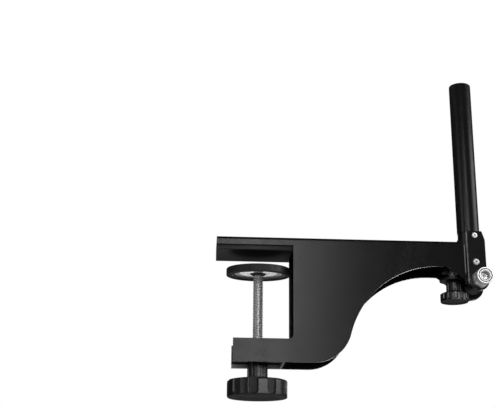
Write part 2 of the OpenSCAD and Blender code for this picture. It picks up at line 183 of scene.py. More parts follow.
def powder_coat(name, lo, hi, r_lo, r_hi, peel=1.0, wear=0.5, rub=None, grime_and_painted_shade=None):
    """Baked satin paint on steel: faint orange peel, cloudy gloss, a few specks and thinner paint on the edges."""
    n = Nodes(name)
    cloud = n.span(n.noise(26, 4, 0.55), 0.34, 0.68)
    col = n.mix(cloud, grey(lo, 0.03), grey(hi, 0.03))
    specks = n.span(n.voronoi(420), 0.06, 0.03, 0.0, 1.0, True)
    speck_on = n.math("MULTIPLY", specks, n.span(n.noise(60, 2), 0.56, 0.66, 0.0, 1.0, True))
    col = n.mix(n.math("MULTIPLY", speck_on, 0.35), col, grey(hi * 3.2))
    worn = n.math("MULTIPLY", n.edges(0.00045), n.span(n.noise(170, 5, 0.7), 0.42, 0.68, 0.15, 1.0, True))
    if rub:
        # one long edge is rubbed to bare steel, between two x places in mm
        x = n.t.nodes.new("ShaderNodeSeparateXYZ")
        n.link(n.coord, x.inputs[0])
        bare = n.span(x.outputs[0], rub[1] * MM, rub[0] * MM, 0.0, 1.0, True)
        bare = n.math("MULTIPLY", bare, n.span(n.noise(240, 3, 0.6), 0.3, 0.6, 0.55, 1.0, True))
        n.link(n.math("MULTIPLY", bare, 0.85), n.bsdf.inputs["Metallic"])
        col = n.mix(bare, col, grey(0.55))
    if grime_and_painted_shade:
        # painted shade high up inside the tray, where the front cheek keeps light off: behind y, between two z places,
        # in mm
        place = n.t.nodes.new("ShaderNodeSeparateXYZ")
        n.link(n.coord, place.inputs[0])
        shade_mask = n.span(place.outputs[1], grime_and_painted_shade[0] * MM, (grime_and_painted_shade[0] + 0.2) * MM, 0.0, 1.0, True)
        shade_mask = n.math("MULTIPLY", shade_mask, n.span(place.outputs[2], grime_and_painted_shade[1] * MM, (grime_and_painted_shade[1] + 0.7) * MM, 0.0, 1.0, True))
        shade_mask = n.math("MULTIPLY", shade_mask, n.span(place.outputs[2], (grime_and_painted_shade[2] + 0.2) * MM, grime_and_painted_shade[2] * MM, 0.0, 1.0, True))
        shade_mask = n.math("MULTIPLY", shade_mask, n.span(n.noise(150, 4, 0.6), 0.2, 0.5, 0.93, 1.0, True))
        col = n.mix(shade_mask, col, grey(0.006))
    col = n.mix(n.math("MULTIPLY", worn, wear), col, grey(hi * 4.5, 0.02))
    n.base(col)
    r = n.span(n.noise(70, 5, 0.6), 0.3, 0.72, r_lo, r_hi)
    scuff = n.span(n.noise(12, 6, 0.75, 1.2), 0.56, 0.74, 0.0, 0.07, True)
    n.rough(n.math("ADD", n.math("SUBTRACT", r, n.math("MULTIPLY", worn, 0.08)), scuff))
    n.set("Specular IOR Level", 0.5)
    n.bump(n.noise(1150, 2, 0.5), 0.000022 * peel)
    n.bump(n.noise(5200, 2, 0.5), 0.000006 * peel)
    return n.mat


def rubber(name, lo, hi, r_lo=0.62, r_hi=0.82, grain=1.0):
    """Moulded black rubber: dull, with a fine grain and a slightly greyer bloom."""
    n = Nodes(name)
    bloom = n.span(n.noise(55, 5, 0.65, 0.4), 0.36, 0.7)
    col = n.mix(bloom, grey(lo), grey(hi))
    col = n.mix(n.math("MULTIPLY", n.edges(0.0005), 0.22), col, grey(hi * 2.4))
    n.base(col)
    n.rough(n.span(n.noise(240, 4, 0.6), 0.3, 0.7, r_lo, r_hi))
    n.set("Specular IOR Level", 0.42)
    n.bump(n.noise(2600, 3, 0.6), 0.00003 * grain)
    n.bump(n.noise(380, 2, 0.5), 0.00004 * grain)
    return n.mat


def plastic(name, lo, hi, r_lo=0.3, r_hi=0.46, grain=1.0, flow=(1, 1, 1), spec=0.5, dull=None):
    """Moulded black plastic: a fine spark-eroded grain, faint flow clouds and a little shine on handled edges."""
    n = Nodes(name)
    p = n.vec("MULTIPLY", n.coord, flow)
    clouds = n.span(n.noise(120, 4, 0.6, 0.6, p), 0.34, 0.7)
    col = n.mix(clouds, grey(lo, 0.02), grey(hi, 0.02))
    shine = n.edges(0.0006)
    col = n.mix(n.math("MULTIPLY", shine, 0.25), col, grey(hi * 2.6))
    n.base(col)
    r = n.span(n.noise(300, 4, 0.6), 0.3, 0.7, r_lo, r_hi)
    if dull:
        # the hollows of a grip stay dusty and dull, between two radii from the axis at x, in mm
        dist, at = n.radial((dull[0], 0, 0), "Z")
        dust = n.math("MULTIPLY", n.span(dist, dull[1] * MM, (dull[1] + 0.8) * MM, 0, 1, True), n.span(dist, (dull[2] + 0.7) * MM, dull[2] * MM, 0, 1, True))
        dust = n.math("MULTIPLY", dust, n.span(n.noise(180, 4, 0.6), 0.25, 0.6, 0.6, 1.0, True))
        r = n.math("ADD", r, n.math("MULTIPLY", dust, dull[3]))
    n.rough(n.math("SUBTRACT", r, n.math("MULTIPLY", shine, 0.06)))
    n.set("Specular IOR Level", spec)
    n.bump(n.noise(3600, 2, 0.55), 0.000012 * grain)
    n.bump(n.noise(520, 2, 0.5), 0.00002 * grain)
    return n.mat


def steel(name, lo, hi, r_lo, r_hi, centre=(0, 0, 0), axis="Z", lines=3600.0, depth=0.000004, dirt=0.3, tint=0.02, metal=1.0, painted_shade_rings=()):
    """Plated steel with turning marks round its axis, cloudy plating, a little grime and rings of painted shade."""
    n = Nodes(name)
    dist, p = n.radial(centre, axis)
    along = {"X": (1, 0, 0), "Y": (0, 1, 0), "Z": (0, 0, 1)}[axis]
    run = n.math("ADD", n.math("MULTIPLY", dist, lines), n.math("MULTIPLY", n.vec("DOT_PRODUCT", p, along), lines))
    marks = n.noise(1.0, 4, 0.7, 0, n.vec("MULTIPLY", n.coord, (30, 30, 30)))
    wave = n.math("SINE", n.math("ADD", n.math("MULTIPLY", run, 6.283), n.math("MULTIPLY", marks, 9.0)))
    cloud = n.span(n.noise(160, 5, 0.65), 0.32, 0.72)
    col = n.mix(cloud, grey(lo, tint), grey(hi, tint))
    grime_and_painted_shade = n.math("MULTIPLY", n.span(n.noise(420, 5, 0.75, 0.6), 0.54, 0.74, 0.0, 1.0, True), dirt)
    col = n.mix(grime_and_painted_shade, col, grey(lo * 0.45, -0.06))
    # painted shade in grooves and hollows between two radii, in mm; with a third pair of numbers only behind those y
    # places
    for r0, r1, dark, *behind in painted_shade_rings:
        shade_mask = n.math("MULTIPLY", n.span(dist, (r0 - 0.12) * MM, (r0 + 0.12) * MM, 0, 1, True), n.span(dist, (r1 + 0.12) * MM, (r1 - 0.12) * MM, 0, 1, True))
        if behind:
            y = n.t.nodes.new("ShaderNodeSeparateXYZ")
            n.link(p, y.inputs[0])
            shade_mask = n.math("MULTIPLY", shade_mask, n.span(y.outputs[1], behind[0] * MM, behind[1] * MM, 0, 1, True))
        col = n.mix(n.math("MULTIPLY", shade_mask, dark), col, grey(lo * 0.12))
    n.base(col)
    n.metal(metal)
    r = n.span(n.noise(700, 4, 0.6), 0.3, 0.7, r_lo, r_hi)
    n.rough(n.math("ADD", r, n.math("MULTIPLY", grime_and_painted_shade, 0.25)))
    n.bump(wave, depth)
    n.bump(n.noise(2400, 3, 0.6), depth)
    return n.mat


M = {
    "bracket": powder_coat("bracket_coat", 0.006, 0.009, 0.21, 0.27),
    # the insert's coat paints shade high up inside its tray, where the front cheek keeps light off
    "insert": powder_coat("insert_coat", 0.5, 0.6, 0.4, 0.52, 0.8, 0.2, None, (-17.2, -84.1, -81.6)),
    "post": powder_coat("post_coat", 0.0055, 0.008, 0.27, 0.35, 0.8, 0.35),
    "plate": powder_coat("plate_coat", 0.0055, 0.008, 0.3, 0.38, 0.8, 0.35, (164.2, 165.2)),
    "foot": powder_coat("foot_oxide", 0.0075, 0.012, 0.38, 0.5, 0.7, 0.5),
    "liner": rubber("liner_rubber", 0.024, 0.034, 0.36, 0.48, 0.8),
    "pad": rubber("pad_rubber", 0.022, 0.032, 0.42, 0.58, 1.2),
    "cap": plastic("cap_plastic", 0.008, 0.012, 0.36, 0.5),
    "knob": plastic("knob_plastic", 0.008, 0.013, 0.24, 0.33),
    "grip": plastic("grip_plastic", 0.008, 0.013, 0.24, 0.33, dull=(0.0, 13.0, 22.0, 0.4)),
    "knob_cap": plastic("knob_cap_plastic", 0.018, 0.028, 0.34, 0.48, 0.8, (1, 1, 1), 0.2),
    "oxide": powder_coat("black_oxide", 0.012, 0.02, 0.3, 0.42, 0.4, 0.5),
    # painted shade in the screw thread's roots
    "screw": steel("screw_steel", 0.84, 0.92, 0.36, 0.42, (0, 0, 0), "Z", 2600, 0.0000001, 0.02, metal=0.75, painted_shade_rings=((2.5, 3.56, 0.6),)),
    "ring": steel("ring_steel", 0.85, 0.95, 0.2, 0.3, (0, 0, 0), "Z", 3600, 0.000001, 0.06, metal=0.6),
    # painted shade round the dish's neck, on its far side and at its rim
    "dish": steel("dish_steel", 0.78, 0.9, 0.34, 0.46, (0, 0, 0), "Z", 1500, 0.000002, 0.2, metal=0.75, painted_shade_rings=((5.0, 7.0, 0.5), (14.6, 20.4, 0.9, -9.0, 1.0), (20.0, 21.4, 0.95))),
    "zinc_z": steel("nut_zinc", 0.5, 0.66, 0.28, 0.42, (0, 0, 0), "Z", 2400, 0.000003, 0.4),
    "sleeve": steel("sleeve_zinc", 0.86, 0.95, 0.4, 0.5, (TEN_X, 0, 0), "Z", 2400, 0.000002, 0.2, metal=0.3),
    # painted shade in the bolt head's groove, round the socket's mouth, on its walls and at its centre
    "bolt": steel("bolt_zinc", 0.88, 0.95, 0.34, 0.44, (PIVOT[0], 0, PIVOT[1]), "Y", 3000, 0.0000005, 0.06, metal=0.45, painted_shade_rings=((4.6, 5.5, 0.93), (3.4, 4.4, 0.25), (2.4, 3.3, 0.6), (-1.0, 1.2, 0.6))),
    "jam": steel("jam_zinc", 0.85, 0.95, 0.22, 0.32, (PIVOT[0], 0, PIVOT[1]), "Y", 2200, 0.0000005, 0.1, metal=0.8),
    # painted shade in the upper rivet's dimple
    "rivet_a": steel("upper_rivet_steel", 0.9, 0.97, 0.36, 0.46, (170.8, 0, 17.5), "Y", 3600, 0.0000005, 0.04, metal=0.4, painted_shade_rings=((-1.0, 0.7, 0.92),)),
    # darker copy of the upper rivet's steel as painted shade on the lower rivet, plus painted shade in its dimple
    "rivet_b": steel("lower_rivet_steel_shaded_copy", 0.5, 0.62, 0.36, 0.46, (170.8, 0, -4.2), "Y", 3600, 0.0000005, 0.06, metal=0.4, painted_shade_rings=((-1.0, 0.9, 0.8),)),
}


# ---------------------------------------------------------------- mesh helpers
def piece(name, bm, body, nodes, mat, sharp=32.0, place=None, weighted=False):
    """Turns a bmesh in mm into a shaded piece that rides on a body."""
    bmesh.ops.remove_doubles(bm, verts=bm.verts, dist=1e-5)
    bmesh.ops.recalc_face_normals(bm, faces=bm.faces)
    if place is not None:
        bm.transform(place)
    bm.transform(Matrix.Scale(MM, 4))
    me = bpy.data.meshes.new(name)
    bm.to_mesh(me)
    bm.free()
    for p in me.polygons:
        p.use_smooth = True
    me.set_sharp_from_angle(angle=math.radians(sharp))
    ob = bpy.data.objects.new(name, me)
    scene.collection.objects.link(ob)
    me.materials.append(mat)
    if weighted:
        w = ob.modifiers.new("weighted", "WEIGHTED_NORMAL")
        w.keep_sharp = True
        w.weight = 60
    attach(ob, body)
    if nodes:
        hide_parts(*nodes)
    return ob


def round_edges(bm, width, segments=2, angle=40.0, only=None):
    bm.normal_update()
    lim = math.radians(angle)
    es = [e for e in bm.edges if len(e.link_faces) == 2 and e.calc_face_angle(0) > lim and (only is None or only(e))]
    if es:
        bmesh.ops.bevel(bm, geom=es, offset=width, segments=segments, profile=0.5, affect="EDGES", clamp_overlap=True)


def rounded(points, seg=5):
    """A line through (r, z, fillet) points with round corners."""
    out = []
    for i, (r, z, f) in enumerate(points):
        if f <= 0 or i in (0, len(points) - 1):
            out.append((r, z))
            continue
        p, a, b = Vector((r, z)), Vector(points[i - 1][:2]), Vector(points[i + 1][:2])
        u, v = (a - p).normalized(), (b - p).normalized()
        half = math.acos(max(-1, min(1, u.dot(v)))) / 2
        run = f / math.tan(half)
        run = min(run, (a - p).length * 0.49, (b - p).length * 0.49)
        rad = run * math.tan(half)
        c = p + (u + v).normalized() * (rad / math.sin(half))
        s, e = p + u * run - c, p + v * run - c
        total = s.angle_signed(e)
        for k in range(seg + 1):
            q = s.copy()
            q.rotate(Matrix.Rotation(-total * k / seg, 2))
            out.append(tuple(c + q))
    return out


def rings(rows, seg, closed=False, bm=None):
    """A surface of rings. A row is (radius, z), each a number or a function of the angle."""
    bm = bm or bmesh.new()
    val = lambda v, a: v(a) if callable(v) else v
    made = []
    for r, z in rows:
        if not callable(r) and abs(r) < 1e-6:
            made.append([bm.verts.new((0, 0, val(z, 0)))])
            continue
        row = []
        for j in range(seg):
            a = 2 * math.pi * j / seg
            rr = val(r, a)
            row.append(bm.verts.new((rr * math.cos(a), rr * math.sin(a), val(z, a))))
        made.append(row)
    pairs = list(zip(made, made[1:])) + ([(made[-1], made[0])] if closed else [])
    for a, b in pairs:
        for j in range(seg):
            k = (j + 1) % seg
            if len(a) == 1 and len(b) == 1:
                continue
            if len(a) == 1:
                bm.faces.new((a[0], b[j], b[k]))
            elif len(b) == 1:
                bm.faces.new((a[j], b[0], a[k]))
            else:
                bm.faces.new((a[j], b[j], b[k], a[k]))
    return bm


def slab(points, depth, bm=None):
    """An outline in (x, z) made solid along Y, from y = 0 to depth."""
    bm = bm or bmesh.new()
    a = [bm.verts.new((x, 0, z)) for x, z in points]
    b = [bm.verts.new((x, depth, z)) for x, z in points]
    bm.faces.new(a)
    bm.faces.new(list(reversed(b)))
    n = len(points)
    for i in range(n):
        bm.faces.new((a[i], b[i], b[(i + 1) % n], a[(i + 1) % n]))
    return bm


def arc(cx, cz, r, a0, a1, n):
    return [(cx + r * math.cos(math.radians(a0 + (a1 - a0) * i / n)), cz + r * math.sin(math.radians(a0 + (a1 - a0) * i / n))) for i in range(n + 1)]


def hexr(af, turn=0.0):
    """Radius of a hexagon at an angle, with a flat facing the turn."""
    def f(a):
        d = (math.degrees(a) - turn) % 60.0
        d = d if d <= 30 else d - 60
        return af / 2 / math.cos(math.radians(d))
    return f


def upright(x=0.0, y=0.0, z=0.0):
    return Matrix.Translation((x, y, z))


def along_y(x, y, z):
    """Local z runs to the back."""
    return Matrix.Translation((x, y, z)) @ Matrix.Rotation(math.radians(-90), 4, "X")


def along_minus_y(x, y, z):
    """Local z runs to the front."""
    return Matrix.Translation((x, y, z)) @ Matrix.Rotation(math.radians(90), 4, "X")


def copy_cad(node, name, body, mat, width=0.3, segments=2, angle=40.0):
    """The CAD node's own shape with its sharp edges rounded."""
    bm = bmesh.new()
    bm.from_mesh(frame["nodes"][node].data)
    bm.transform(Matrix.Scale(1000.0, 4))
    bmesh.ops.remove_doubles(bm, verts=bm.verts, dist=2e-4)
    bmesh.ops.dissolve_limit(bm, angle_limit=math.radians(0.6), verts=bm.verts, edges=bm.edges)
    round_edges(bm, width, segments, angle)
    return piece(name, bm, body, [node], mat, weighted=True)


# ---------------------------------------------------------------- bracket: one folded sheet
def cheek_outline():
    bottom = -BOTTOM
    cx, cz, cr = 41.0, BOTTOM + 30.0, 30.0
    ax, apex = 140.0, -10.0
    up = apex - cz
    ar = ((ax - cx) ** 2 + up * up - cr * cr) / (2 * (up + cr))
    az = apex - ar
    lean = math.degrees(math.atan2(az - cz, ax - cx))
    pts = [(JAW, WEB_TOP), (JAW, LINER_T), (THROAT_X, LINER_T)]
    pts += arc(THROAT_X - 3.5, THROAT_Z + 3.5, 3.5, 0, -90, 8)
    pts += [(LOWER_REACH, THROAT_Z), (LOWER_REACH, BOTTOM)]
    pts += arc(cx, cz, cr, -90, lean, 34)
    pts += arc(ax, az, ar, 180 + lean, 90, 56)[1:]
    return pts


def fold_point(s, v):
    """Folds the developed sheet. s runs along the arm, v from the web's middle line over the fold and down a cheek.
    Returns the outer face's point in mm; v is signed, minus to the front."""
    side = -1.0 if v < 0 else 1.0
    v = abs(v)
    flat = HALF - FOLD_R
    quarter = FOLD_R * math.pi / 2
    if v <= flat:
        return Vector((s, side * v, WEB_TOP))
    if v <= flat + quarter:
        a = (v - flat) / FOLD_R
        return Vector((s, side * (flat + FOLD_R * math.sin(a)), WEB_TOP - FOLD_R + FOLD_R * math.cos(a)))
    z = WEB_TOP - FOLD_R - (v - flat - quarter)
    x, y = plan_point(s)
    return Vector((x, side * y, z))


# the cheek's plan: straight at y = 20, a bend inwards, a short run, a bend back and the lug at y = 11.2
BEND_OUT, BEND_IN = 2.5, 0.7
SET_DEG = 77.2
BEND_X = ARM_END - BEND_OUT * math.tan(math.radians(SET_DEG / 2)) + 1.15


def plan_point(s):
    if s <= BEND_X:
        return s, HALF
    a = math.radians(SET_DEG)
    l1 = BEND_OUT * a
    run_y = (HALF - 11.2) - BEND_OUT * (1 - math.cos(a)) - BEND_IN * (1 - math.cos(a))
    run = run_y / math.sin(a)
    l3 = BEND_IN * a
    x, y, t = BEND_X, HALF, s - BEND_X
    if t <= l1:
        q = t / BEND_OUT
        return x + BEND_OUT * math.sin(q), y - BEND_OUT * (1 - math.cos(q))
    x, y, t = x + BEND_OUT * math.sin(a), y - BEND_OUT * (1 - math.cos(a)), t - l1
    if t <= run:
        return x + t * math.cos(a), y - t * math.sin(a)
    x, y, t = x + run * math.cos(a), y - run * math.sin(a), t - run
    if t <= l3:
        q = a - t / BEND_IN
        return x + BEND_IN * (math.sin(a) - math.sin(q)), y - BEND_IN * (math.cos(q) - math.cos(a))
    return x + BEND_IN * math.sin(a) + (t - l3), y - BEND_IN * (1 - math.cos(a))


def plan_length(x_lug):
    """Developed s of a lug point whose x is x_lug."""
    lo, hi = BEND_X, x_lug + 40
    for _ in range(60):
        mid = (lo + hi) / 2
        if plan_point(mid)[0] < x_lug:
            lo = mid
        else:
            hi = mid
    return (lo + hi) / 2


def make_bracket():
    flat = HALF - FOLD_R
    quarter = FOLD_R * math.pi / 2
    v_of = lambda z: flat + quarter + (WEB_TOP - FOLD_R - z)
    sL = plan_length
    # the cheek's lower outline, from the jaw's end to the lug, in (s, z)
    low = cheek_outline()[1:]
    tail = [(145.9, -10.0), (146.9, -10.25), (147.9, -10.85), (149.0, -11.7), (157.2, -18.25), (158.2, -18.95), (159.5, -19.55)]
    px, pz = PIVOT
    s_lug0 = sL(162.6)
    lug = [(s_lug0, -19.9), (sL(163.6), -21.0)] + [(sL(x), z) for x, z in arc(px, pz, 8.0, -152, 100, 26)]
    top = [(s_lug0 + 0.3, -9.3), (sL(161.9), -8.6)]
    lug_top = [(sL(171.6), -10.2), (s_lug0, -9.6)]
    # the joggle and its upper edge: it stays up to the fold, then steps down to the lug
    joggle_up = [(sL(162.2), -9.2), (sL(161.95), 7.6), (ARM_END - 0.4, 8.1 - 0.02)]
    side = low + tail + lug[:2] + lug[2:] + lug_top[:1] + joggle_up
    # one closed outline in (s, v): web's cut end, front side's outline, jaw's end, back side's outline
    web_end = 158.0
    right = [(web_end, 0.0), (web_end, flat), (ARM_END - 0.4, flat)]

    def half_loop(sign):
        pts = [(s, sign * v_of(z)) for s, z in side]
        return pts

    bm = bmesh.new()
    for sign in (-1, 1):
        loop = [(JAW, 0.0), (JAW, sign * flat)] + [(s, sign * v_of(z)) for s, z in side]
        loop += [(ARM_END - 0.4, sign * flat), (web_end, sign * flat), (web_end, 0.0)]
        vs = [bm.verts.new((s, v, 0)) for s, v in loop]
        bm.faces.new(vs)
    bmesh.ops.remove_doubles(bm, verts=bm.verts, dist=1e-4)
    # cut lines where the sheet bends
    cuts_v = [flat + quarter * i / 6 for i in range(7)]
    for c in cuts_v:
        for sign in (-1, 1):
            bmesh.ops.bisect_plane(bm, geom=bm.verts[:] + bm.edges[:] + bm.faces[:], plane_co=(0, sign * c, 0), plane_no=(0, 1, 0), dist=1e-5)
    a = math.radians(SET_DEG)
    l1, l3 = BEND_OUT * a, BEND_IN * a
    run = ((HALF - 11.2) - (BEND_OUT + BEND_IN) * (1 - math.cos(a))) / math.sin(a)
    cuts_s = [BEND_X + l1 * i / 8 for i in range(9)] + [BEND_X + l1 + run + l3 * i / 5 for i in range(6)]
    for c in cuts_s:
        bmesh.ops.bisect_plane(bm, geom=bm.verts[:] + bm.edges[:] + bm.faces[:], plane_co=(c, 0, 0), plane_no=(1, 0, 0), dist=1e-5)
    for vert in bm.verts:
        vert.co = fold_point(vert.co.x, vert.co.y)
    bmesh.ops.recalc_face_normals(bm, faces=bm.faces)
    # make the outer face look outwards
    for f in bm.faces:
        c = f.calc_center_median()
        if abs(c.z - WEB_TOP) < 0.01:
            if f.normal.z < 0:
                bmesh.ops.reverse_faces(bm, faces=bm.faces)
            break
    # thickness, inwards
    bm.normal_update()
    outer = list(bm.verts)
    inner = {}
    for vert in outer:
        ns = []
        for f in vert.link_faces:
            if f.calc_area() > 1e-6:
                ns.append(f.normal.copy())
        n = sum(ns, Vector()).normalized()
        k = 1.0 / max(0.5, min(n.dot(q) for q in ns))
        inner[vert] = vert.co - n * (SHEET * k)
    faces = list(bm.faces)
    rim = [e for e in bm.edges if len(e.link_faces) == 1]
    new = {v: bm.verts.new(co) for v, co in inner.items()}
    for f in faces:
        bm.faces.new([new[v] for v in reversed(f.verts)])
    for e in rim:
        l = e.link_loops[0]
        v0, v1 = l.vert, l.link_loop_next.vert
        bm.faces.new((v1, v0, new[v0], new[v1]))
    bmesh.ops.recalc_face_normals(bm, faces=bm.faces)
    round_edges(bm, 0.32, 2, 55)
    return piece("bracket_sheet", bm, "bracket", ["bracket"], M["bracket"], weighted=True)


make_bracket()


# ---------------------------------------------------------------- jaw liner, insert, nuts
def make_liner():
    lip, core = HALF - 0.7, HALF - SHEET - 0.05
    half = [(0, 0, 0), (lip, 0, 0.7), (lip, LINER_T - 0.6, 0.35), (lip - 0.85, LINER_T - 0.55, 0.15), (lip - 0.85, LINER_T + 0.35, 0), (core, LINER_T + 0.4, 0), (core, 8.46, 0.3), (0, 8.46, 0)]
    line = rounded(half, 4)
    ring = line + [(-y, z) for y, z in reversed(line[1:-1])]
    bm = bmesh.new()
    # sections along the jaw; the ends are drawn in a little, as on a moulding
    xs = [(JAW + 0.02, 0.5), (JAW + 0.2, 0.16), (JAW + 0.6, 0.0), (THROAT_X - 0.65, 0.0), (THROAT_X - 0.25, 0.14), (THROAT_X - 0.06, 0.4)]
    rows = []
    for x, inset in xs:
        row = []
        for y, z in ring:
            k = 1 - inset / lip
            row.append(bm.verts.new((x, y * k, max(z, 0) + (inset if z < 1 else -inset * 0.5) * (0.6 if z < 1 else 1))))
        rows.append(row)
    n = len(ring)
    for a, b in zip(rows, rows[1:]):
        for j in range(n):
            bm.faces.new((a[j], b[j], b[(j + 1) % n], a[(j + 1) % n]))
    bm.faces.new(rows[0])
    bm.faces.new(list(reversed(rows[-1])))
    return piece("liner_moulding", bm, "bracket", ["jaw_liner"], M["liner"], 38)


make_liner()
copy_cad("jaw_insert", "insert_pressing", "bracket", M["insert"], 0.55, 3, 50)


def nut_bm(af, h, bore, seg=96, turn=30.0, crown=0.93):
    """Hexagon nut with both ends chamfered and a countersunk bore."""
    out = hexr(af, turn)
    rc = af / 2 * crown
    drop = lambda a: max(0.0, (out(a) - rc) * 0.55)
    rows = [
        (bore + 0.02, h / 2),
        (bore, 0.55),
        (bore + 0.5, 0.0),
        (rc, 0.0),
        (lambda a: out(a) - 0.06, lambda a: drop(a)),
        (out, lambda a: drop(a) + 0.1),
        (out, lambda a: h - drop(a) - 0.1),
        (lambda a: out(a) - 0.06, lambda a: h - drop(a)),
        (rc, h),
        (bore + 0.5, h),
        (bore, h - 0.55),
    ]
    return rings(rows, seg, closed=True)


piece("clamp_nut_hex", nut_bm(13, 6.5, 4.04), "bracket", ["clamp_nut"], M["zinc_z"], 28, upright(0, 0, -80.7))
piece("tension_nut_hex", nut_bm(8, 4, 2.54), "bracket", ["tension_nut"], M["zinc_z"], 28, upright(TEN_X, 0, 0))
copy_cad("tension_anchor", "anchor_plate", "bracket", M["bracket"], 0.25)


# ---------------------------------------------------------------- screws with real threads
def thread(bm, r0, r1, pitch, z0, z1, seg=44, lead=0.9):
    """A right-hand thread from z0 up to z1, running out to the root at both ends."""
    prof = [(0.0, r0), (0.22, r0), (0.56, r1), (0.70, r1)]
    turns = int((z1 - z0) / pitch) + 3
    rows = {}

    def vert(k, j):
        if j == seg:
            k, j = k + 4, 0
        key = (k, j)
        if key not in rows:
            t, q = divmod(k, 4)
            z = z0 + pitch * (t - 1.2 + prof[q][0] + j / seg)
            r = prof[q][1]
            a = 2 * math.pi * j / seg
            if z <= z0:
                z, r = z0, r0
            elif z >= z1:
                z, r = z1, r0
            else:
                r = min(r, r0 + (z - z0) / lead, r0 + (z1 - z) / lead)
            rows[key] = bm.verts.new((r * math.cos(a), r * math.sin(a), z))
        return rows[key]

    for k in range(4 * (turns + 1)):
        for j in range(seg):
            q = [vert(k, j), vert(k, j + 1), vert(k + 1, j + 1), vert(k + 1, j)]
            if len({tuple(round(c, 6) for c in v.co) for v in q}) >= 3:
                bm.faces.new(q)
    bmesh.ops.remove_doubles(bm, verts=bm.verts, dist=1e-4)
    bmesh.ops.dissolve_degenerate(bm, dist=1e-5, edges=bm.edges)


def make_clamp_screw():
    bm = bmesh.new()
    thread(bm, 3.35, 3.97, 1.25, -106.0, -18.35, 44)
    # ball, neck and the turned end above the thread
    ball = [(3.0 * math.cos(math.radians(a)), BALL_Z + 3.0 * math.sin(math.radians(a))) for a in range(-42, 91, 6)]
    top = [(3.35, -18.4), (3.7, -18.1), (3.7, -17.7), (3.35, -17.46), (2.3, -17.44), (2.1, -17.2)] + ball[:-1] + [(0, BALL_Z + 3.0)]
    rings(top, 44, bm=bm)
    rings([(0, -106.3), (3.0, -106.3), (3.35, -106.0)], 44, bm=bm)
    bmesh.ops.remove_doubles(bm, verts=bm.verts, dist=0.06)
    return piece("screw_threaded", bm, "clamp_screw", ["clamp_screw"], M["screw"], 50)


make_clamp_screw()


def make_tension_screw():
    bm = bmesh.new()
    thread(bm, 2.0, 2.48, 0.8, -16.0, 5.0, 32, 0.8)
    rings([(0, -32.0), (2.0, -32.0), (2.48, -31.6), (2.48, -16.6), (2.0, -16.0)], 32, bm=bm)
    rings([(2.0, 5.0), (1.6, 5.15), (0, 5.15)], 32, bm=bm)
    for v in bm.verts:
        v.co.z = min(v.co.z, 5.0)
    rings([(0, -32.0), (7.8 / 2, -32.0), (hexr(8), -31.7), (hexr(8), -28.8), (7.8 / 2, -28.5), (2.4, -28.5)], 48, bm=bm)
    bm.transform(Matrix.Translation((TEN_X, 0, 0)))
    return piece("tension_screw_threaded", bm, "tension_knob", ["tension_screw"], M["sleeve"], 50)


make_tension_screw()


# ---------------------------------------------------------------- knobs
def smin(a, b, k):
    h = max(0.0, min(1.0, 0.5 + 0.5 * (b - a) / k))
    return b * (1 - h) + a * h - k * h * (1 - h)


def slot_cut(s, h, end, w, depth):
    """Depth of a round-ended flute at s mm from its middle and height h, cut from above down to end."""
    d = abs(s) if h > end else math.hypot(s, end - h)
    t = d / w
    if t >= 1.0:
        return 0.0
    if t <= 0.72:
        return depth * (1 - 0.09 * (t / 0.72) ** 2)
    u = (t - 0.72) / 0.28
    return depth * 0.91 * (1 - u * u * (3 - 2 * u))


def knob_bm(R, z0, z1, hub_r, hub_z, turn, flute_w, flute_d, flute_end, rim_top, rim_low, rib_w, rib_d, recess_r, recess_d, seg, crown=0.6, flare=0.5, n=10, fillet=1.6, foot=2.0, hub_off=0.5):
    """A moulded hand knob: fluted head with rounded rims, recessed underside, and a ribbed hub. Ribs and flutes line up."""
    step = 360.0 / n

    def gap(a, off=0.0):
        d = (math.degrees(a) - turn - off) % step
        return d if d <= step / 2 else d - step

    def head(rp, h):
        def f(a):
            s = math.radians(gap(a)) * R
            wall = R - slot_cut(s, h, flute_end, flute_w, flute_d)
            return smin(rp, wall, 0.35)
        return f

    def hub(r, k):
        def f(a):
            s = math.radians(gap(a, step * hub_off)) * hub_r
            return r - k * slot_cut(s, 1.0, 0.0, rib_w, rib_d)
        return f

    rows = []
    # underside: recess floor, recess wall and lip
    rows += [(0, z0 + recess_d), (recess_r, z0 + recess_d), (recess_r, z0 + 0.35), (recess_r + 0.3, z0 + 0.06), (recess_r + 0.7, z0)]
    steps = [recess_r + 0.7 + (R - rim_low - recess_r - 0.7) * t for t in (0.5, 1.0)]
    rows += [(r, z0) for r in steps]
    for i in range(1, 9):
        a = math.radians(90 * i / 8)
        h = z0 + rim_low * (1 - math.cos(a))
        rows.append((head(R - rim_low + rim_low * math.sin(a), h), h))
    zs = [z0 + rim_low + (z1 - rim_top - z0 - rim_low) * t for t in [i / 14 for i in range(1, 15)]]
    rows += [(head(R, h), h) for h in zs]
    for i in range(1, 10):
        a = math.radians(90 * i / 9)
        h = z1 - rim_top + rim_top * math.sin(a)
        rows.append((head(R - rim_top + rim_top * math.cos(a), h), h))
    # top face, gently crowned towards the hub
    r_in = hub_r + foot
    for t in (0.25, 0.5, 0.75, 1.0):
        r = (R - rim_top) * (1 - t) + r_in * t
        rows.append((head(r, z1) if t < 0.8 else r, z1 + crown * math.sin(t * math.pi / 2)))
    zb = z1 + crown
    for i in range(1, 6):
        a = math.radians(90 * i / 5)
        rows.append((hub(r_in - (r_in - hub_r - flare) * math.sin(a), i / 5.0), zb + fillet * (1 - math.cos(a))))
    for t in (0.25, 0.5, 0.75, 1.0):
        z = zb + fillet + (hub_z - 0.7 - zb - fillet) * t
        rows.append((hub(hub_r + flare * (1 - t), 1.0), z))
    rows += [(hub(hub_r - 0.2, 1.0), hub_z - 0.2), (hub(hub_r - 0.7, 0.6), hub_z), (hub_r - 2.2, hub_z), (0, hub_z)]
    return rings(rows, seg)


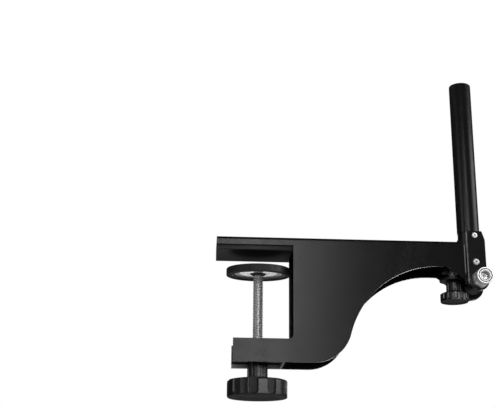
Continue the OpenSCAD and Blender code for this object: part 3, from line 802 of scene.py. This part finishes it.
piece(
    "clamp_knob_moulding",
    knob_bm(23.3, -111.5, -98.0, 7.9, -83.5, 7.3, 3.9, 2.1, -107.2, 2.2, 1.6, 0.95, 0.75, 15.42, 1.2, 600, 0.5, 0.0, 10, 1.6, 2.0, 0.6),
    "clamp_screw", ["clamp_knob"], M["grip"], 60,
)
piece(
    "tension_knob_moulding",
    knob_bm(11.0, -34.2, -27.2, 5.9, -17.4, 4.7, 1.6, 1.2, -31.6, 1.2, 0.8, 0.55, 0.55, 8.62, 1.5, 336, 0.9, 0.15, 14, 0.9, 0.9, 0.0),
    "tension_knob", ["tension_knob"], M["knob"], 60, upright(TEN_X, 0, 0),
)


def disc_rows(r, z0, z1, edge, ring_r=None, ring_d=0.0):
    """A flat cap with a rounded rim and a shallow ring groove in its lower face."""
    rows = [(0, z0)]
    if ring_r:
        rows += [(ring_r - 0.7, z0), (ring_r - 0.3, z0 + ring_d), (ring_r + 0.3, z0 + ring_d), (ring_r + 0.7, z0)]
    rows += [(r - edge, z0)]
    rows += [(r - edge + edge * math.sin(math.radians(22.5 * i)), z0 + edge * (1 - math.cos(math.radians(22.5 * i)))) for i in range(1, 5)]
    return rows + [(r, z1), (0, z1)]


piece("clamp_knob_disc", rings(disc_rows(15.35, -111.3, -110.32, 0.3, 12.6, 0.2), 120), "clamp_screw", ["clamp_knob_cap"], M["knob_cap"], 40)
piece("tension_knob_disc", rings(disc_rows(8.55, -33.35, -33.02, 0.12, 6.6, 0.12), 96), "tension_knob", ["tension_knob_cap"], M["cap"], 40, upright(TEN_X, 0, 0))


# ---------------------------------------------------------------- pad, dish and swivel ring
on_ball = Matrix.Translation((0, 0, BALL_Z)) @ Matrix.Rotation(math.radians(LEAN), 4, "X") @ Matrix.Translation((0, 0, -BALL_Z))


def make_pad():
    top, low, R = -10.55, -16.55, PAD_R
    rows = [(0, top)]
    for g in (7.0, 12.5, 18.0):
        rows += [(g - 0.9, top), (g - 0.5, top - 0.35), (g + 0.5, top - 0.35), (g + 0.9, top)]
    line = rounded([(18.9, top, 0), (R, top, 1.0), (R, low, 0.9), (R - 3.6, low, 0.5), (R - 3.8, -13.15, 0.0)], 6)
    rows += line + [(5.95, -13.15), (5.9, -15.3), (5.4, -15.72), (3.4, -15.74), (2.9, -15.5), (3.0, -15.0), (0, -14.9)]
    return piece("pad_moulding", rings(rows, 144), "pad", ["pad_rubber"], M["pad"], 40, on_ball)


def make_dish():
    line = rounded([(6.15, -13.5, 0), (6.2, -14.5, 0.3), (7.2, -14.75, 0.5), (9.4, -14.3, 1.2), (18.9, -14.2, 0.9), (20.15, -15.0, 0.4), (20.3, -15.6, 0.2), (21.1, -15.6, 0.2), (21.12, -13.25, 0.4), (6.15, -13.2, 0)], 5)
    return piece("dish_pressing", rings(line, 144, closed=True), "pad", ["pad_dish"], M["dish"], 50, on_ball)


make_pad()
make_dish()
ring_line = rounded([(2.2, -17.4, 0), (3.88, -17.4, 0.3), (3.88, -16.5, 0.3), (2.2, -16.5, 0), (2.18, -16.9, 0)], 4)
piece("swivel_ring_turned", rings(ring_line, 64, closed=True), "clamp_carriage", ["swivel_ring"], M["ring"], 40)


# ---------------------------------------------------------------- post
def make_tube():
    # the length between the plates is a little thinner than the free length above them
    low = POST_R - 0.4
    line = rounded([(POST_R - 1.2, -9.3, 0), (low - 0.3, -9.3, 0.2), (low, -9.0, 0.2), (low, 21.9, 0.05), (POST_R, 22.3, 0.1), (POST_R, 150.55, 0.15), (POST_R - 0.2, 150.78, 0.1), (POST_R - 1.2, 150.8, 0)], 3)
    rows = line[:]
    return piece("post_tube_drawn", rings(rows, 160, closed=True), "post", ["post_tube"], M["post"], 40, upright(POST_X, 0, 0))


def make_cap():
    line = rounded([(0, 152.5, 0), (POST_R - 1.0, 152.36, 0), (POST_R - 0.06, 152.2, 1.3), (POST_R - 0.06, 150.9, 0.12), (POST_R - 1.3, 150.86, 0), (POST_R - 1.3, 139.0, 0.4), (0, 139.0, 0)], 8)
    return piece("post_top_plug", rings(line, 160), "post", ["post_top_cap"], M["cap"], 40, upright(POST_X, 0, 0))


make_tube()
make_cap()


def make_plate(name, node, y0):
    x0, x1, top, px, pz = 163.8, 178.8, 21.0, PIVOT[0], PIVOT[1]
    pts = [(x0, top - 1.2), (x0 + 0.35, top - 0.35), (x0 + 1.2, top)]
    pts += [(x1 - 2.3 - 0.5, top), (x1 - 2.3 + 0.15, top - 0.45)]
    pts += [(x1 - 0.15, top - 6.7), (x1, top - 7.6)]
    pts += arc((x0 + x1) / 2, pz, 7.5, 0, -180, 28)
    bm = slab(pts, 2.5)
    bm.transform(Matrix.Translation((0, y0, 0)))
    bmesh.ops.recalc_face_normals(bm, faces=bm.faces)
    front = (lambda c: c.co.y < y0 + 0.1) if y0 < 0 else (lambda c: c.co.y > y0 + 2.4)
    long_edge = lambda e: all(abs(v.co.x - x0) < 0.05 and front(v) for v in e.verts)
    round_edges(bm, 1.1, 5, 50, long_edge)
    round_edges(bm, 0.6, 3, 50)
    return piece(name, bm, "post", [node], M["plate"], weighted=True)


make_plate("hinge_plate_front_blank", "hinge_plate_front", -13.9)
make_plate("hinge_plate_back_blank", "hinge_plate_back", 11.4)
copy_cad("post_foot", "post_foot_block", "post", M["foot"], 0.3)
copy_cad("rivet_spacers", "rivet_spacer_rings", "post", M["foot"], 0.2, 2, 50)


def rivet_bm(r, face=13.9):
    """A tubular rivet: a shank between two formed heads with an open middle."""
    head = rounded([(0.62, face + 0.3, 0), (0.66, face + 0.8, 0.12), (0.9, face + 1.06, 0.2), (r - 0.75, face + 0.98, 0.6), (r, face + 0.4, 0.4), (r, face + 0.02, 0.1), (1.6, face, 0)], 6)
    rows = [(0, face + 0.05), (0.5, face + 0.1)] + head
    back = [(rr, -z) for rr, z in reversed(rows)]
    return rings(rows + back, 64)


for name, node, z, r, m in (("upper_rivet_formed", "upper_rivet", 17.5, 2.2, "rivet_a"), ("lower_rivet_formed", "lower_rivet", -4.2, 2.6, "rivet_b")):
    piece(name, rivet_bm(r), "post", [node], M[m], 40, along_y(170.8, 0, z))


# ---------------------------------------------------------------- pivot bolt, nuts and bush
def make_bolt():
    seg = 216
    teeth = 36
    head_back, head_front = 0.0, 8.0  # local z runs to the front
    hexo = hexr(6.0, 0.0)
    knurl = lambda a, k: 0.22 * k * abs(((a * teeth / (2 * math.pi)) % 1.0) * 2 - 1)
    side = lambda k: (lambda a: 6.5 - knurl(a, k))
    rows = [
        (0, -34.4 - 7.0),
        (3.3, -34.4 - 7.0),
        (3.97, -33.9 - 7.0),
        (3.97, -0.4),
        (4.3, 0.0),
        (6.1, 0.0),
        (6.38, 0.12),
        (side(0.4), 0.45),
        (side(1.0), 0.8),
        (side(1.0), 3.4),
        (side(1.0), 6.2),
        (side(0.3), 6.6),
        (6.5, 6.85),
        (6.5, 7.35),
        (6.38, 7.75),
        (6.1, 7.96),
        (5.75, 8.0),
        (5.5, 7.9),
        (5.35, 7.6),
        (5.2, 7.5),
        (4.95, 7.5),
        (4.8, 7.62),
        (4.65, 7.86),
        (4.45, 7.92),
        (4.1, 7.9),
        (3.95, 7.8),
        (lambda a: hexo(a) + 0.12, 7.5),
        (hexo, 7.35),
        (hexo, 4.35),
        (lambda a: hexo(a) - 0.35, 4.05),
        (1.6, 4.0),
        (0.9, 3.7),
        (0, 3.35),
    ]
    return piece("pivot_bolt_socket_head", rings(rows, seg), "bracket", ["pivot_bolt"], M["bolt"], 30, along_minus_y(PIVOT[0], -20.5, PIVOT[1]))


make_bolt()
piece("pivot_jam_nut_hex", nut_bm(13, 6.45, 4.0, 120, 8.0), "bracket", ["pivot_jam_nut"], M["jam"], 28, along_minus_y(PIVOT[0], -14.05, PIVOT[1]))


def make_cap_nut():
    line = rounded([(4.0, 0.0, 0), (9.9, 0.0, 0.3), (10.5, 0.6, 0.5), (10.5, 8.0, 3.0), (3.5, 8.0, 1.2), (3.2, 7.75, 0.3), (0, 7.75, 0)], 8)
    return piece("pivot_cap_nut_round", rings([(4.0, 5.5)] + line, 120), "bracket", ["pivot_cap_nut"], M["knob"], 40, along_y(PIVOT[0], 14.05, PIVOT[1]))


make_cap_nut()
bush = rounded([(4.1, -14.05, 0), (4.9, -14.05, 0.1), (5.0, -13.9, 0.1), (5.0, 13.9, 0.1), (4.9, 14.05, 0.1), (4.1, 14.05, 0)], 2)
piece("pivot_bush_turned", rings(bush, 72, closed=True), "bracket", ["pivot_bush"], M["jam"], 40, along_y(PIVOT[0], 0, PIVOT[1]))

# ---------------------------------------------------------------- tension washer and sleeve
copy_cad("tension_washer", "tension_washer_cut", "tension_carriage", M["oxide"], 0.35, 2, 50)


def make_sleeve():
    h = 5.75
    line = rounded([(2.56, 0.0, 0), (3.3, 0.0, 0.15), (3.5, 0.2, 0.15), (3.5, 4.9, 0.5), (3.2, 5.35, 0.5), (2.56, 5.45, 0)], 4)
    return piece("tension_sleeve_turned", rings(line, 72, closed=True), "tension_carriage", ["tension_sleeve"], M["sleeve"], 40, upright(TEN_X, 0, -15.4))


make_sleeve()

# ---------------------------------------------------------------- stage, light and camera
bm = bmesh.new()
bmesh.ops.create_grid(bm, x_segments=24, y_segments=24, size=16.0)
me = bpy.data.meshes.new("floor")
bm.to_mesh(me)
bm.free()
floor = bpy.data.objects.new("floor", me)
floor.location = (0, 0, -1.6)
scene.collection.objects.link(floor)
fl = Nodes("floor_pale")
fl.base(fl.mix(fl.span(fl.noise(3, 3), 0.3, 0.7), (0.78, 0.78, 0.78), (0.82, 0.82, 0.82)))
fl.rough(0.7)
fl.set("Emission Color", (0.8, 0.8, 0.8, 1))
# the floor grows lighter with distance and runs into the pale background
fl_away, fl_at = fl.radial((0, 0, 0), "Z")
fl.link(fl.span(fl_away, 1.2, 6.5, 0.92, 1.4, True), fl.bsdf.inputs["Emission Strength"])
me.materials.append(fl.mat)
floor.visible_glossy = False
floor.visible_diffuse = False

FILL_FRONT, FILL_BACK, FILL_UP, FILL_DOWN = 0.1, 0.035, 0.35, 0.32
world = bpy.data.worlds.new("studio")
scene.world = world
world.use_nodes = True
wt = world.node_tree
wt.nodes.clear()
w_out = wt.nodes.new("ShaderNodeOutputWorld")
w_mix = wt.nodes.new("ShaderNodeMixShader")
w_path = wt.nodes.new("ShaderNodeLightPath")
w_seen = wt.nodes.new("ShaderNodeBackground")
w_seen.inputs[0].default_value = (1, 1, 1, 1)
w_seen.inputs[1].default_value = 1.0
w_fill = wt.nodes.new("ShaderNodeBackground")
w_dir = wt.nodes.new("ShaderNodeTexCoord")
w_sep = wt.nodes.new("ShaderNodeSeparateXYZ")
wt.links.new(w_dir.outputs["Generated"], w_sep.inputs[0])


def w_math(op, a, b):
    n = wt.nodes.new("ShaderNodeMath")
    n.operation = op
    n.use_clamp = op == "MULTIPLY_ADD"
    for k, v in enumerate((a, b)):
        if isinstance(v, bpy.types.NodeSocket):
            wt.links.new(v, n.inputs[k])
        else:
            n.inputs[k].default_value = v
    return n.outputs[0]


def w_range(v, lo, hi, a, b):
    n = wt.nodes.new("ShaderNodeMapRange")
    n.interpolation_type = "SMOOTHSTEP"
    wt.links.new(v, n.inputs["Value"])
    for k, x in zip(("From Min", "From Max", "To Min", "To Max"), (lo, hi, a, b)):
        n.inputs[k].default_value = x
    return n.outputs[0]


# soft grey room: a little light from in front, less from behind and above, and what a pale floor sends back
w_front = w_range(w_sep.outputs["Y"], -0.6, 0.7, FILL_FRONT, FILL_BACK)
w_up = w_range(w_sep.outputs["Z"], 0.35, 0.9, 1.0, FILL_UP)
w_down = w_range(w_sep.outputs["Z"], -0.3, -0.48, 0.0, FILL_DOWN)
wt.links.new(w_math("ADD", w_math("MULTIPLY", w_front, w_up), w_down), w_fill.inputs[1])
w_fill.inputs[0].default_value = (1, 1, 1, 1)
wt.links.new(w_path.outputs["Is Camera Ray"], w_mix.inputs[0])
wt.links.new(w_fill.outputs[0], w_mix.inputs[1])
wt.links.new(w_seen.outputs[0], w_mix.inputs[2])
wt.links.new(w_mix.outputs[0], w_out.inputs[0])


def softbox(name, at, look, w, h, radiance, only=()):
    light = bpy.data.lights.new(name, "AREA")
    light.shape = "RECTANGLE"
    light.size, light.size_y = w, h
    light.energy = radiance * math.pi * w * h
    ob = bpy.data.objects.new(name, light)
    ob.location = at
    ob.rotation_mode = "QUATERNION"
    ob.rotation_quaternion = (Vector(look) - Vector(at)).to_track_quat("-Z", "Y")
    ob.visible_camera = False
    scene.collection.objects.link(ob)
    if only:
        group = bpy.data.collections.new(name + "_pieces")
        for n in only:
            group.objects.link(bpy.data.objects[n])
        ob.light_linking.receiver_collection = group
    return ob


softbox("key_front_up", (0.05, -1.0, 0.31), (0.05, 0.0, 0.0), 0.18, 0.2, 3.9)
softbox("key_front_low", (0.05, -1.0, 0.03), (0.05, 0.0, 0.03), 0.18, 0.36, 2.9)
softbox("key_left", (-0.38, -0.98, 0.13), (0.05, 0.0, -0.06), 0.26, 0.24, 2.8)
softbox("strip_right", (1.0, -0.2, 0.2), (0.17, 0.0, 0.02), 0.6, 0.46, 2.6)
softbox("fill_left", (-0.85, -0.42, 0.2), (0.05, 0.0, 0.0), 0.3, 0.6, 1.0)
softbox("back_left", (-0.7, 0.5, 1.5), (0.05, 0.0, 0.0), 0.8, 0.8, 2.6)
softbox("back_right", (1.15, 0.5, 1.45), (0.08, 0.0, 0.0), 0.8, 0.8, 2.6)
softbox("back_sheen", (0.14, 0.95, -0.04), (0.06, 0.0, 0.0), 0.8, 0.2, 2.7, ("bracket_sheet", "post_tube_drawn", "hinge_plate_back_blank", "pivot_cap_nut_round", "clamp_knob_moulding"))
softbox("metal_front", (0.5, -0.9, 0.35), (0.17, 0.0, -0.02), 0.6, 0.5, 5.3, ("pivot_bolt_socket_head", "upper_rivet_formed", "lower_rivet_formed", "swivel_ring_turned"))
softbox("grip_right", (0.52, -0.9, 0.2), (0.05, 0.0, -0.08), 0.95, 0.5, 3.7, ("clamp_knob_moulding", "tension_knob_moulding"))
softbox("rib_front", (-0.06, -1.0, 0.27), (0.155, 0.0, -0.02), 0.22, 0.3, 4.2, ("tension_knob_moulding",))
softbox("pad_right", (0.86, -0.7, 0.12), (0.0, 0.0, -0.01), 0.4, 0.4, 4.0, ("pad_moulding",))
softbox("screw_front", (0.22, -1.0, 0.2), (0.0, 0.0, -0.05), 0.5, 0.5, 2.5, ("screw_threaded",))
softbox("metal_below", (0.02, 0.85, -0.38), (0.0, 0.0, -0.015), 0.26, 0.3, 2.3, ("dish_pressing",))

cam = bpy.data.cameras.new("camera")
cam.lens = 70.30
cam.sensor_width = 36.0
cam.sensor_fit = "HORIZONTAL"
cam.clip_start, cam.clip_end = 0.05, 50
cam_ob = bpy.data.objects.new("camera", cam)
scene.collection.objects.link(cam_ob)
scene.camera = cam_ob
right = Vector((0.99883231, -0.04689481, 0.01161409))
forward = Vector((0.04114527, 0.95171367, 0.3042173))
up = Vector((-0.0253195, -0.3033842, 0.95253186))
rot = Matrix((right, up, -forward)).transposed()
cam_ob.matrix_world = Matrix.Translation(Vector((-0.041288, -0.742941, -0.194321))) @ rot.to_4x4()

scene.view_settings.view_transform = "Standard"
scene.view_settings.look = "None"
scene.view_settings.exposure = 0.0
scene.view_settings.gamma = 1.0
